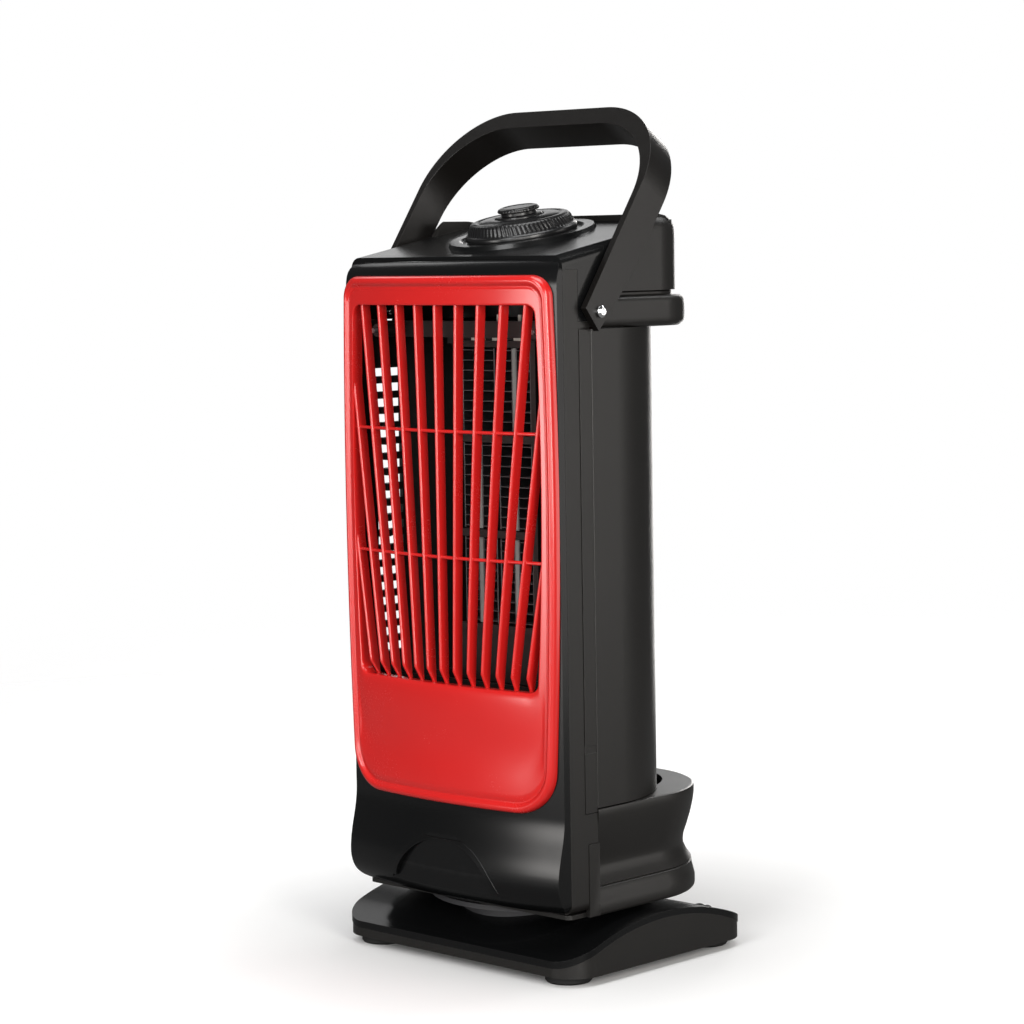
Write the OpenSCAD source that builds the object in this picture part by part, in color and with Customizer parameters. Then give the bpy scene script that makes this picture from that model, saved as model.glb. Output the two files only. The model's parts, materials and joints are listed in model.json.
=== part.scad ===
// Ceramic tower heater with a swivelling body, a bail handle and two top knobs.
// Millimetres. +Z up, the air outlet faces -Y, origin under the base centre.

/* [Base] */
// Width of the base plate
base_w = 180; // [176:1:184]
// Depth of the base plate
base_d = 141.6; // [140:0.2:144]
// Diameter of the rubber feet
foot_d = 25; // [20:1:26]

/* [Handle] */
// Angle the handle leans back from upright
handle_lean = 34.5; // [0:0.5:90]
// Width of the handle strap
strap_w = 20; // [16:1:22]

/* [Controls] */
// Number of grip flutes round the mode dial
flutes = 40; // [24:2:44]
// Number of fan blades
blades = 18; // [12:1:22]

/* [Hidden] */
$fn = 96;
e = 0.01;
wall = 2.4;
// base arch, seen from the side
arch_top = 30.2;
arch_r = 158.4;
arch_z = arch_top - arch_r;
plate_t = 3.4;
foot_h = 4.6;
foot_x = 70.4;
foot_y = 54.9;
// swivel
hub_r = 42;
hub_in = 38.5;
bush_r = 47;
run = 0.08;
crank_x = -20;
crank_throw = 10;
// body
half_w = 79.2;
front_r = 355;
front_y = -74.5;
frame_y = -61;
groove_y = -50;
seam_y = -40;
floor_z = 33.2;
shell_z = 36.4;
tray_z = 90;
col_z0 = 90.3;
col_floor = 96.4;
rim_z0 = 341;
rim_z1 = 357.2;
cap_z0 = 360;
cap_z1 = 400.5;
deck_slope = 10.7;
deck_y0 = -66;
deck_z0 = 378.5;
cap_front = 33.5;
// dial axis on the deck
dial_y = -8;
dial_z = deck_z0 + tan(deck_slope) * (dial_y - deck_y0);
// handle pivot
piv_y = -38;
piv_z = 350;
strap_in = 80.1;
strap_out = 84;
// outlet
open_z0 = 153;
open_z1 = 354;
vane_lo = 9.71;
vane_hi = 15.37;
// fan
fan_x = 2;
fan_y = 17;
fan_r = 24;
// vent rows
vent_pitch = 8.5;
vent_h = 4.5;

// ---------- shared shapes ----------
// plan outline: straight sides, small front corners, large rear corners
module d_plan(xh, yf, yr, rf, rr) {
  intersection() {
    union() {
      translate([-xh, yf + rf]) square([2 * xh, yr - rr - yf - rf]);
      translate([-xh + rf, yf]) square([2 * (xh - rf), rf + e]);
      translate([-xh + rr, yr - rr - e]) square([2 * (xh - rr), rr + e]);
      for (s = [-1, 1]) {
        translate([s * (xh - rf), yf + rf]) circle(rf);
        translate([s * (xh - rr), yr - rr]) circle(rr);
      }
    }
    translate([-xh - 1, yf]) square([2 * xh + 2, yr - yf + 1]);
  }
}

// solid with the same plan, whose side follows a list of [inset, z]
module d_solid(pts, xh, yf, yr, rr) {
  n = len(pts) - 1;
  side = [for (p = pts) [rr - p[0], p[1]]];
  core = concat([[0, pts[0][1]]], side, [[0, pts[n][1]]]);
  right = [for (p = pts) [xh - p[0], p[1]]];
  left = [for (i = [0 : n]) [-xh + pts[n - i][0], pts[n - i][1]]];
  translate([0, yr - rr, 0]) rotate([90, 0, 0])
    linear_extrude(yr - rr - yf) polygon(concat(right, left));
  translate([-(xh - rr), yr - rr, 0]) rotate([90, 0, 90])
    linear_extrude(2 * (xh - rr)) polygon(core);
  intersection() {
    for (s = [-1, 1])
      translate([s * (xh - rr), yr - rr, 0]) rotate_extrude() polygon(core);
    translate([-xh, yf, -1]) cube([2 * xh, yr - yf, 420]);
  }
}

// rectangle with rounded corners, drawn from its middle
module round_rect(w, h, r) {
  square([w - 2 * r, h], center = true);
  square([w, h - 2 * r], center = true);
  for (x = [-1, 1], y = [-1, 1])
    translate([x * (w / 2 - r), y * (h / 2 - r)]) circle(r);
}

module tube(ro, ri, z0, z1) {
  translate([0, 0, z0]) difference() {
    cylinder(r = ro, h = z1 - z0);
    translate([0, 0, -1]) cylinder(r = ri, h = z1 - z0 + 2);
  }
}

// everything below the base arch, one material thickness down
module under_arch(drop) {
  intersection() {
    translate([-120, 0, arch_z]) rotate([0, 90, 0])
      cylinder(r = arch_r - drop, h = 240, $fn = 180);
    translate([-120, -100, -5]) cube([240, 200, 60]);
  }
}

// bowed band: a list of [forward, z] points outside and a plain back face,
// swept round the large radius of the front
module bowed(pts, back, xh) {
  n = len(pts) - 1;
  out = [for (p = pts) [front_r + p[0], p[1]]];
  intersection() {
    translate([0, front_y + front_r, 0]) rotate_extrude($fn = 720)
      polygon(concat([[front_r - back, pts[0][1]]], out, [[front_r - back, pts[n][1]]]));
    translate([-xh, front_y - 20, 0]) cube([2 * xh, 60, 420]);
  }
}

// outline with four corner radii and sides that swell a little
module outlet_outline(wt, wm, wb, z0, z1, rt, rb) {
  zm = (z0 + z1) / 2;
  swell = 4 * (wm - (wb + wt) / 2);
  low = [for (a = [-90 : 10 : -8]) [wb - rb + rb * cos(a), z0 + rb + rb * sin(a)]];
  side = [for (t = [0 : 0.125 : 1])
    [wb + (wt - wb) * t + swell * t * (1 - t), z0 + rb + (z1 - rt - z0 - rb) * t]];
  high = [for (a = [8 : 10 : 90]) [wt - rt + rt * cos(a), z1 - rt + rt * sin(a)]];
  for (k = [0, 1]) mirror([k, 0]) polygon(concat([[0, z0]], low, side, high, [[0, z1]]));
}

// pushes a flat outline drawn in x and z through the front of the body
module through_front() {
  translate([0, -40, 0]) rotate([90, 0, 0]) linear_extrude(60) children();
}

// places a piece on the sloping deck, at the dial axis
module on_deck() {
  translate([0, dial_y, dial_z]) rotate([deck_slope, 0, 0]) children();
}

// places a piece in the frame of the leaning handle
module on_handle() {
  translate([0, piv_y, piv_z]) rotate([-handle_lean, 0, 0]) children();
}

// pan-head screw along +Z, head on top, cross recess
module pan_screw(d, len, head_d, head_h) {
  translate([0, 0, -len]) cylinder(d = d, h = len + e);
  difference() {
    union() {
      cylinder(d = head_d, h = head_h * 0.55);
      translate([0, 0, head_h * 0.55]) cylinder(d1 = head_d, d2 = head_d * 0.6, h = head_h * 0.45);
    }
    for (a = [0, 90]) rotate([0, 0, a])
      translate([-head_d * 0.27, -head_d * 0.06, head_h * 0.45]) cube([head_d * 0.54, head_d * 0.12, head_h]);
  }
}

// ---------- base ----------
base_screw_at = [[-45, -50], [45, -50], [-45, 50], [45, 50]];

module base_feet() {
  color("#1b1b1b") for (x = [-1, 1], y = [-1, 1]) translate([x * foot_x, y * foot_y, 0]) {
    cylinder(d1 = foot_d - 1.6, d2 = foot_d, h = 1);
    translate([0, 0, 1 - e]) cylinder(d = foot_d, h = foot_h - 1 + e);
    cylinder(d = 8, h = foot_h + 1.8);
  }
}

module base_floor() {
  color("#2a2a2b") difference() {
    translate([0, 0, foot_h]) linear_extrude(2.4) round_rect(base_w - 5.6, base_d - 5.6, 15.2);
    for (x = [-1, 1], y = [-1, 1]) translate([x * foot_x, y * foot_y, 0]) cylinder(d = 8.2, h = 10);
    for (p = base_screw_at) translate([p[0], p[1], 0]) cylinder(d = 3.4, h = 10);
    for (x = [-30 : 6 : 30]) translate([x, 22, foot_h - 1]) cube([2.5, 20, 5]);
  }
}

module base_shell() {
  color("#262626") difference() {
    union() {
      difference() {
        intersection() {
          translate([0, 0, foot_h]) linear_extrude(40) round_rect(base_w, base_d, 18);
          under_arch(plate_t);
        }
        intersection() {
          translate([0, 0, foot_h - 1]) linear_extrude(40) round_rect(base_w - 5.2, base_d - 5.2, 15.4);
          under_arch(plate_t + 2.2);
        }
      }
      for (p = base_screw_at) translate([p[0], p[1], 7.2]) cylinder(d = 8, h = 9);
    }
    translate([0, 0, 5]) cylinder(r = bush_r, h = 40);
    for (p = base_screw_at) translate([p[0], p[1], 0]) cylinder(d = 2.8, h = 14);
    translate([52, 60, 10]) rotate([-90, 0, 0]) cylinder(d = 9, h = 20);
  }
}

module base_cover() {
  color("#0b0c0d") difference() {
    intersection() {
      translate([0, 0, foot_h]) linear_extrude(40) round_rect(base_w + 0.8, base_d + 0.8, 18.4);
      difference() {
        under_arch(0);
        translate([-120, 0, arch_z]) rotate([0, 90, 0]) cylinder(r = arch_r - plate_t, h = 240, $fn = 180);
      }
    }
    translate([0, 0, 5]) cylinder(r = bush_r, h = 40);
    translate([52, 60, 10]) rotate([-90, 0, 0]) cylinder(d = 9, h = 20);
  }
}

module base_screws() {
  color("#b9bbbd") for (p = base_screw_at)
    translate([p[0], p[1], foot_h]) rotate([180, 0, 0]) pan_screw(2.8, 8.5, 6, 1.8);
}

// bearing ring that carries the body on the base
module swivel_bush() {
  color("#303234") {
    tube(bush_r, hub_r + run, 12, 31);
    tube(62, hub_r + run, 30.4, 33);
  }
}

// slotted block on the base floor that the crank pin works against
module crank_yoke() {
  color("#c8c6bd") difference() {
    union() {
      translate([-34, -9, 7]) cube([30, 18, 15.6]);
      translate([-37, -12, 7]) cube([36, 24, 2.4]);
    }
    translate([-31.5, -2.3, 12]) cube([25, 4.6, 20]);
  }
}

module cord_gland() {
  color("#1d1d1d") translate([52, 0, 10]) rotate([-90, 0, 0]) {
    tube(4.4, 2.6, 68.3, 79.7);
    tube(6.4, 2.6, base_d / 2 + 0.5, base_d / 2 + 2.5);
  }
}

// ---------- lower body ----------
module body_floor() {
  color("#29292a") difference() {
    union() {
      translate([0, 0, floor_z]) linear_extrude(2.4) d_plan(half_w - 2.6, -59.8, 68.8, 4, 53.8);
      tube(hub_r, hub_in, 11.8, floor_z + 1);
      for (x = [-1, 1], y = [-52, 40]) translate([x * 48, y, floor_z]) cylinder(d = 8, h = 10);
    }
    translate([crank_x, 0, 30]) cylinder(d = 9, h = 20);
    translate([14, 0, 30]) cylinder(d = 14, h = 20);
    for (x = [-1, 1], y = [-52, 40]) translate([x * 48, y, floor_z - 1]) cylinder(d = 2.6, h = 12);
  }
}

module hub_retainer() {
  color("#c9ccce") difference() {
    tube(46, hub_in, 9.6, 11.8);
    for (a = [45 : 90 : 315]) rotate([0, 0, a]) translate([40.2, 0, 9]) cylinder(d = 2.6, h = 4);
  }
}

module swivel_motor() {
  color("#a9abad") translate([crank_x, 0, 35.6]) difference() {
    union() {
      cylinder(d = 50, h = 15.5);
      translate([-29, -4.5, 0]) cube([58, 9, 1.2]);
      translate([-8, -31, 3]) cube([16, 8, 9]);
    }
    translate([0, 0, -1]) cylinder(d = 5 + 2 * run, h = 10);
    for (s = [-1, 1]) translate([s * 27, 0, -1]) cylinder(d = 3.2, h = 4);
  }
}

module crank_disc() {
  color("#d9d6cc") translate([crank_x, 0, 0]) {
    translate([0, 0, 25.2]) cylinder(r = 13.5, h = 2.6);
    translate([0, 0, 27.7]) cylinder(d = 5, h = 15);
    translate([-crank_throw, 0, 23]) cylinder(d = 4, h = 2.4);
  }
}

tray_out = [[1, 33], [0.2, 34], [0, 35.5], [0, 39], [1.6, 45.2], [1.7, 47.4], [2.5, 48],
  [1.9, 48.6], [4.6, 52.4], [6.2, 56], [6.4, 58.5], [6, 62], [4, 68], [2.2, 74], [0.8, 80],
  [0.1, 85], [0, 88], [0.4, 89.4], [1.6, 90]];
tray_in = [[9.4, 62.6], [8.9, 64], [6.4, 70], [4.6, 75], [3.2, 80], [2.6, 87.4]];
skirt_in = [[3, 32], [3, 39], [4.4, 45.2], [5.4, 50], [8.4, 54], [8.8, 60.2]];

// lower rear moulding: outer wall, cord tray and the floor under it
module cord_tray() {
  color("#2b2b2c") difference() {
    union() {
      d_solid(tray_out, half_w + 0.6, seam_y, 72, 57);
      for (s = [-1, 1]) translate([s * (half_w - 1.1) - 1.5, -47.4, 33.4]) cube([3, 8, 38.6]);
    }
    d_solid(skirt_in, half_w + 0.6, seam_y - 1, 72, 57);
    d_solid(tray_in, half_w + 0.6, seam_y + 2.4, 72, 57);
    translate([0, 0, 80]) linear_extrude(20) d_plan(60, -37, 64, 4, 50);
    translate([0, 0, 59]) linear_extrude(5) d_plan(54, -50, 28, 4, 46);
    translate([-67, -60, 60.2]) cube([134, 23, 40]);
  }
}

module tilt_switch() {
  color("#e4e2da") translate([40, 20, 35.6]) {
    cube([22, 14, 16]);
    translate([4, 5, 15.9]) cube([2, 4, 5]);
    translate([15, 5, 15.9]) cube([2, 4, 5]);
  }
}

// ---------- shells ----------
arch_half = 42;
// how far the chin swells forward at a height: it rounds under below 53 and fades out at 88
function chin(z) = z > 88 ? 0 : z > 53 ? 2.6 + 2.6 * cos(180 * (z - 53) / 35)
  : 5.2 - 16 * (1 - sqrt(1 - pow((53 - z) / 17.6, 2)));
// the top edge rounds back over a quarter ellipse
function brow(z) = z < 364 ? 0 : -9 * (1 - sqrt(max(0, 1 - pow((z - 364) / 13.4, 2))));
front_z = concat([for (z = [36.4 : 1.66 : 52.9]) z], [for (z = [53 : 2.5 : 88]) z],
  [for (a = [0 : 12 : 72]) 364 + 13.4 * sin(a)], [377.4]);
front_pts = [for (z = front_z) [chin(z) + brow(z), z]];
back_pts = concat([[chin(39.5) - 2.8, 39.5]], [for (z = [41 : 4 : 89]) [chin(z) - 2.8, z]],
  [[-2.8, 367.3], [-6, 374.8]]);

module front_shell() {
  color("#0a0b0c") difference() {
    intersection() {
      union() {
        difference() {
          bowed(front_pts, 16, half_w);
          bowed(back_pts, 30, half_w - 2.6);
        }
        for (s = [-1, 1], z = [96, 362]) translate([s * 60, frame_y - 0.2, z]) rotate([90, 0, 0])
          cylinder(d = 8, h = 6.5);
      }
      translate([-90, -90, 0]) cube([180, 90 + frame_y - 0.2, 420]);
      translate([0, 0, 206.9]) rotate([90, 0, 0]) linear_extrude(90) round_rect(2 * half_w, 341, 7);
    }
    through_front() outlet_outline(69, 71.5, 68, 104, 357.5, 10, 16);
    // recessed arch in the chin
    intersection() {
      through_front() translate([0, 29]) circle(arch_half + 1.5);
      bowed([[9, 20], [9, 90]], -2.45, 60);
    }
    for (s = [-1, 1], z = [96, 362]) translate([s * 60, frame_y - 6, z]) rotate([-90, 0, 0])
      cylinder(d = 2.6, h = 10);
  }
}

// raised rim round the arch of the chin
module chin_badge() {
  color("#0a0b0c") intersection() {
    through_front() difference() {
      translate([0, 29]) circle(arch_half + 1.4);
      translate([0, 29]) circle(arch_half - 1.6);
      translate([-60, -20]) square([120, 64]);
    }
    bowed([for (z = [45 : 2.5 : 70]) [chin(z) + 0.4, z]], -2.5, 60);
  }
}

module body_frame() {
  color("#2c2c2d") difference() {
    union() {
      difference() {
        translate([0, frame_y, 208.2]) rotate([-90, 0, 0]) linear_extrude(seam_y - 0.2 - frame_y)
          round_rect(2 * half_w, 343.6, 5);
        translate([0, frame_y - 1, 208.2]) rotate([-90, 0, 0]) linear_extrude(30)
          round_rect(2 * half_w - 2 * wall, 343.6 - 2 * wall, 3);
      }
      translate([-half_w + 1, -42.4, 88]) cube([2 * half_w - 2, 2.2, 62]);
      translate([-76.9, -42.4, 336]) cube([153.8, 2.2, 8.8]);
      for (s = [-1, 1]) translate([s * 75.4 - 1.8, -42.4, 88]) cube([3.6, 2.2, 256.8]);
      for (s = [-1, 1], z = [104, 340]) translate([s * 60, -42.4, z]) rotate([90, 0, 0])
        cylinder(d = 7, h = -42.4 - frame_y);
    }
    // seats for the side strips
    for (s = [-1, 1]) translate([s * (half_w + 0.4) - 1.5, groove_y + 0.3, 88]) cube([3, 12, 254]);
    // room for the cheeks of the deck and for the rear moulding
    translate([-100, groove_y, 345.2]) cube([200, 20, 60]);
    translate([-100, -70, 372]) cube([200, 60, 20]);
    for (s = [-1, 1]) translate([s * 79 - 4, -47.6, 30]) cube([8, 12, 42.2]);
    // open foot, closed by the floor
    translate([-74, -59, 30]) cube([148, 40, 30]);
    // inlet slots
    for (i = [0 : 18]) translate([-90, -47, 161 + i * vent_pitch]) cube([17, 8, vent_h]);
    for (s = [-1, 1], z = [104, 340]) translate([s * 60, -62, z]) rotate([-90, 0, 0])
      cylinder(d = 3.2, h = 30);
  }
}

module side_strip(s) {
  translate([s * (half_w - 0.3) - 0.8, groove_y + 0.5, 0]) difference() {
    union() {
      translate([0, 0, 124]) cube([1.6, 8.6, 217]);
      translate([0.3, 0, 120]) cube([1, 8.6, 4.1]);
      translate([0, 0, 88.5]) cube([1.6, 8.6, 31.6]);
    }
    if (s < 0) for (i = [0 : 18]) translate([-1, 2.5, 161 + i * vent_pitch]) cube([5, 8, vent_h]);
  }
}

module left_strip() { color("#313132") side_strip(-1); }
module right_strip() { color("#313132") side_strip(1); }

// rounded rear column with the air inlet slots
module rear_column() {
  color("#2b2b2c") difference() {
    union() {
      translate([0, 0, col_z0]) linear_extrude(rim_z0 - col_z0) d_plan(half_w, seam_y, 50, 1, 70);
      translate([0, 0, 62.6]) linear_extrude(40) d_plan(60, -35.4, 34, 4, 52);
    }
    translate([0, 0, col_floor]) linear_extrude(300)
      d_plan(half_w - wall, seam_y - 5, 50 - wall, 1, 70 - wall);
    translate([0, 0, 60]) linear_extrude(60) d_plan(57.6, -33, 31.6, 3, 49.6);
    for (i = [0 : 18]) translate([-90, seam_y - 2, 161 + i * vent_pitch]) cube([17, 14, vent_h]);
    for (i = [0 : 21], x = [-36, 4]) translate([x, 34, 140 + i * vent_pitch]) cube([32, 30, vent_h]);
  }
}

// slanting cut that parts the cap and its rim from the deck cheeks
module slant_cut(y) {
  translate([-90, y, 345.4]) rotate([-32, 0, 0]) translate([0, -90, -60]) cube([180, 90, 180]);
}

rim_out = [[3.4, 341], [1, 342.2], [0.2, 344], [0, 346], [0, 352], [0.4, 355.6], [1.8, 357.2]];
module cap_rim() {
  color("#2d2d2e") difference() {
    union() {
      d_solid(rim_out, half_w + 0.4, seam_y + 1, 55.8, 36);
      translate([0, 0, 357.1]) linear_extrude(2.9) d_plan(73, seam_y + 1, 48.5, 1, 29);
    }
    translate([0, 0, 340]) linear_extrude(30) d_plan(70.5, seam_y - 3, 46, 1, 26.5);
    translate([0, 0, 343.4]) linear_extrude(11.4) d_plan(half_w - 2.2, seam_y - 3, 53.2, 1, 33.4);
    slant_cut(-31.5);
  }
}

cap_out = [[0, 360], [0, 391], [0.6, 394.6], [2.4, 397.6], [5, 399.6], [8.4, 400.5]];
cap_in = [[2.4, 350], [2.4, 389], [5, 394], [8.4, 395.2]];
module rear_cap() {
  color("#2d2d2e") difference() {
    d_solid(cap_out, 75, -40, 50.5, 31);
    difference() {
      d_solid(cap_in, 75, -50, 50.5, 31);
      translate([-90, 28, 390.8]) cube([180, 7.9, 80]);
    }
    // the deck runs in under the front of the cap
    deck_slot();
    // finger recess across the top
    translate([-62, 41, 402.2]) rotate([0, 90, 0]) cylinder(r = 4.6, h = 124);
    slant_cut(-31.5);
  }
}

function deck_at(y) = deck_z0 + tan(deck_slope) * (y - deck_y0);

module deck_slot() {
  translate([-71.1, 0, 0]) rotate([90, 0, 90]) linear_extrude(142.2)
    polygon([[-60, deck_at(-60) - 2.75], [cap_front, deck_at(cap_front) - 2.75],
      [cap_front, 420], [-60, 420]]);
}

// full-width part of the deck with its cheeks, shrunk by t
module deck_form(t) {
  intersection() {
    translate([-half_w + t, 0, 0]) rotate([90, 0, 90]) linear_extrude(2 * (half_w - t))
      polygon([[-49.8, 345.4], [-49.8, 372.1], [frame_y - 0.1 + 0.8 * t, 372.1],
        [frame_y - 0.1 + 0.8 * t, deck_at(frame_y) - t], [-3.5, 390.4 - t], [-31.6, 345.4]]);
    on_deck() translate([0, 120, -60 - t]) rotate([90, 0, 0]) linear_extrude(240)
      round_rect(2 * (half_w - t), 120, 6 - t);
  }
}

// sloping gloss deck with side cheeks and the dial platform
module top_deck() {
  color("#0b0c0e") difference() {
    union() {
      deck_form(0);
      translate([-71, 0, 0]) rotate([90, 0, 90]) linear_extrude(142)
        polygon([[-12, deck_at(-12) - 2.6], [cap_front - 0.1, deck_at(cap_front) - 2.6],
          [cap_front - 0.1, deck_at(cap_front)], [-12, deck_at(-12)]]);
      on_deck() translate([0, 0, -1]) cylinder(r1 = 41, r2 = 39.5, h = 3.2);
    }
    difference() {
      translate([0, 0.3, -0.1]) deck_form(2.6);
      on_deck() translate([0, 0, -3.4]) cylinder(r = 12, h = 6);
      for (s = [-1, 1]) translate([s * (half_w - 8), piv_y, piv_z]) rotate([0, s * 90, 0])
        cylinder(d = 10, h = 8);
    }
    translate([-76.6, -60, 340]) cube([153.2, 80, 20]);
    translate([-74, -70, 340]) cube([148, 12, 34]);
    on_deck() translate([0, 0, 0.6]) cylinder(r1 = 32.6, r2 = 35.5, h = 3);
    on_deck() translate([0, 0, -8]) cylinder(r = 6 + run, h = 20);
    for (s = [-1, 1]) translate([s * (half_w - 9), piv_y, piv_z]) rotate([0, s * 90, 0])
      cylinder(d = 4, h = 12);
  }
}

// ---------- outlet grille ----------
module grille() {
  color("#c4161d") {
    // outer rim
    intersection() {
      bowed([[2.2, 86], [4.2, 90.5], [4.6, 94], [4.6, 366], [4, 369], [2.2, 372]], -0.05, half_w);
      through_front() difference() {
        outlet_outline(77, 79, 75.5, 89, 369.6, 12, 24);
        outlet_outline(71.5, 73.4, 70, 95.6, 362.8, 8, 19);
      }
    }
    // inner step and lower panel
    difference() {
      intersection() {
        bowed([[3, 90], [3, 370]], -0.05, half_w);
        through_front() outlet_outline(71.6, 73.5, 70.1, 95.5, 362.9, 8, 19);
      }
      through_front() outlet_outline(68.5, 70.5, 67, open_z0, open_z1, 6, 7);
    }
    // vanes
    intersection() {
      through_front() outlet_outline(69, 71, 67.5, open_z0 - 1, open_z1 + 1, 6, 7);
      union() {
        for (i = [-6 : 6]) vane(i);
        for (z = [220.8, 287.7]) intersection() {
          bowed([[0.8, z - 0.9], [0.8, z + 0.9]], 1.4, 72);
          translate([-72, -100, 0]) cube([144, 60, 400]);
        }
      }
    }
    // ring that enters the front shell
    difference() {
      intersection() {
        bowed([[0, 105], [0, 357]], 4, half_w);
        through_front() outlet_outline(68.8, 71.3, 67.8, 104.3, 357.2, 10, 16);
      }
      through_front() outlet_outline(68.5, 70.5, 67, open_z0, open_z1, 6, 7);
      bowed([[0.01, 105], [0.01, 151]], 4.2, 64);
    }
  }
}

// one straight slat, leaning outwards towards the top
module vane(i) {
  x0 = i * vane_lo;
  x1 = i * vane_hi;
  sag = front_r - sqrt(front_r * front_r - pow((x0 + x1) / 2, 2));
  d = 1;
  z0 = open_z0 - 1.2;
  z1 = open_z1 + 1.2;
  rotate([90, 0, 0]) translate([0, 0, -front_y - 4 - sag]) linear_extrude(6)
    polygon([[x0 - d, z0], [x0 + d, z0], [x1 + d, z1], [x1 - d, z1]]);
}

// ---------- handle ----------
module handle_half_plane(xh, r, top) {
  translate([-xh, -12]) square([2 * xh, top - r + 12]);
  translate([-xh + r, top - r - e]) square([2 * (xh - r), r + e]);
  for (s = [-1, 1]) translate([s * (xh - r), top - r]) circle(r);
}

module bail_handle() {
  color("#242424") on_handle() difference() {
    intersection() {
      translate([0, strap_w / 2, 0]) rotate([90, 0, 0]) linear_extrude(strap_w) difference() {
        handle_half_plane(strap_out, 50, 124.5);
        translate([0, -2]) handle_half_plane(strap_in, 46.6, 116);
      }
      translate([-100, 0, 0]) rotate([90, 0, 90]) linear_extrude(200) polygon([[-strap_w / 2, 130],
        [-strap_w / 2, -4.4], [4.6, -9], [7, 4.8], [8.3, 15.4], [strap_w / 2, 36], [strap_w / 2, 130]]);
    }
    translate([-100, 0, 0]) rotate([0, 90, 0]) cylinder(d = 4 + 2 * run, h = 200);
  }
}

module pivot_screw(s) {
  color("#d6d8da") translate([s * (strap_out + 0.2), piv_y, piv_z]) rotate([0, s * 90, 0])
    pan_screw(4, 12.5, 6.4, 2.2);
}
module left_pivot_screw() { pivot_screw(-1); }
module right_pivot_screw() { pivot_screw(1); }

module pivot_washers() {
  color("#8d8f91") for (s = [-1, 1])
    translate([s * 79.65, piv_y, piv_z]) rotate([0, 90, 0]) tube(5.5, 2 + run, -0.35, 0.35);
}

// ---------- controls ----------
module mode_dial() {
  color("#0c0c0d") on_deck() difference() {
    union() {
      translate([0, 0, 1]) cylinder(r = 30.4, h = 2);
      translate([0, 0, 3 - e]) cylinder(r1 = 30.4, r2 = 28.6, h = 7.4);
      translate([0, 0, 10.4 - 2 * e]) cylinder(r1 = 28.6, r2 = 26.8, h = 1.2);
      translate([0, 0, -3]) cylinder(r = 6, h = 5);
    }
    for (i = [0 : flutes - 1]) rotate([0, 0, i * 360 / flutes])
      translate([30.6, 0, 2.6]) rotate([0, -13.7, 0]) cylinder(d = 2.6, h = 12, $fn = 24);
    translate([0, 0, 9.6]) cylinder(r = 13.4, h = 5);
    translate([0, 0, -4]) cylinder(r = 3.6 + run, h = 30);
    rotate([0, 0, -62]) translate([18, -1, 11.1]) cube([8, 2, 2]);
  }
}

module mode_shaft() {
  color("#b4b6b8") on_deck() tube(3.6, 2.2 + run, -15, 8);
}

module thermostat_knob() {
  color("#0c0c0d") on_deck() difference() {
    union() {
      translate([0, 0, 9.9]) cylinder(r = 12.8, h = 2.6);
      translate([0, 0, 12.4]) cylinder(r1 = 9.6, r2 = 9.6, h = 1.8);
      translate([0, 0, 14.2 - e]) cylinder(r1 = 11, r2 = 11.4, h = 0.8);
      translate([0, 0, 15 - 2 * e]) cylinder(r1 = 11.4, r2 = 10.6, h = 1.8);
    }
    translate([0, 0, 9]) cylinder(r = 2.2, h = 5);
    rotate([0, 0, -62]) translate([3, -0.6, 16.2]) cube([6, 1.2, 2]);
  }
}

module thermostat_shaft() {
  color("#c3c5c7") on_deck() translate([0, 0, -30]) cylinder(r = 2.2, h = 43.9);
}

module rotary_switch() {
  color("#3a3b3d") on_deck() difference() {
    union() {
      translate([-16, -16, -15.6]) cube([32, 32, 12]);
      for (x = [-10, 0, 10]) translate([x - 2, 15.9, -13]) cube([4, 6, 0.8]);
    }
    translate([0, 0, -17]) cylinder(r = 3.6 + run, h = 20);
  }
}

module thermostat_body() {
  color("#d8d2c4") on_deck() difference() {
    translate([-13, -11, -31]) cube([26, 22, 15]);
    translate([0, 0, -40]) cylinder(r = 2.2 + run, h = 40);
  }
}

// ---------- heater ----------
heat_y = -32;
module heater_frame() {
  color("#3b3b3c") difference() {
    union() {
      translate([-31, heat_y, 176]) cube([62, 14, 158]);
      translate([-40, heat_y + 5, 148]) cube([80, 2.4, 30]);
      translate([-40, heat_y + 5, 332]) cube([80, 2.4, 12]);
      for (s = [-1, 1], z = [148.4, 338]) translate([s * 37 - 3, -40.2, z]) cube([6, 13.4, 5]);
    }
    for (z = [180, 231.5, 283]) translate([-27.5, heat_y - 1, z]) cube([55, 16, 47.5]);
  }
}

module ptc_stones() {
  color("#8e8f8c") for (x = [-13.5, 13.5], z = [180.5, 232, 283.5])
    translate([x - 1.2, heat_y + 2, z]) cube([2.4, 10, 46.5]);
}

module heater_fins() {
  color("#c9cbcc") for (x = [-13.5, 13.5], z = [180.5, 232, 283.5]) {
    for (s = [-1, 1]) translate([x + s * 12 - 0.4, heat_y + 2, z]) cube([0.8, 10, 46.5]);
    for (s = [-1, 1]) translate([x + s * 1.65 - 0.4, heat_y + 2, z]) cube([0.8, 10, 46.5]);
    for (s = [-1, 1], k = [0 : 8])
      translate([x + s * 6.82 - 5, heat_y + 2, z + 1 + k * 5.5]) cube([10, 10, 0.5]);
  }
}

module terminal_blocks() {
  color("#e6e1d2") for (x = [-14, 2, 18]) translate([x - 3.6, heat_y + 1, 334]) {
    cube([7.2, 3.8, 9]);
    translate([2.6, 1, 8.9]) cube([2, 1.6, 5]);
  }
}

module thermal_cutoff() {
  color("#b8a14a") translate([24, heat_y + 7.4, 339.2]) rotate([-90, 0, 0]) {
    cylinder(d = 9.6, h = 4);
    translate([-6, -1.6, 1]) cube([12, 3.2, 1]);
  }
}

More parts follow.
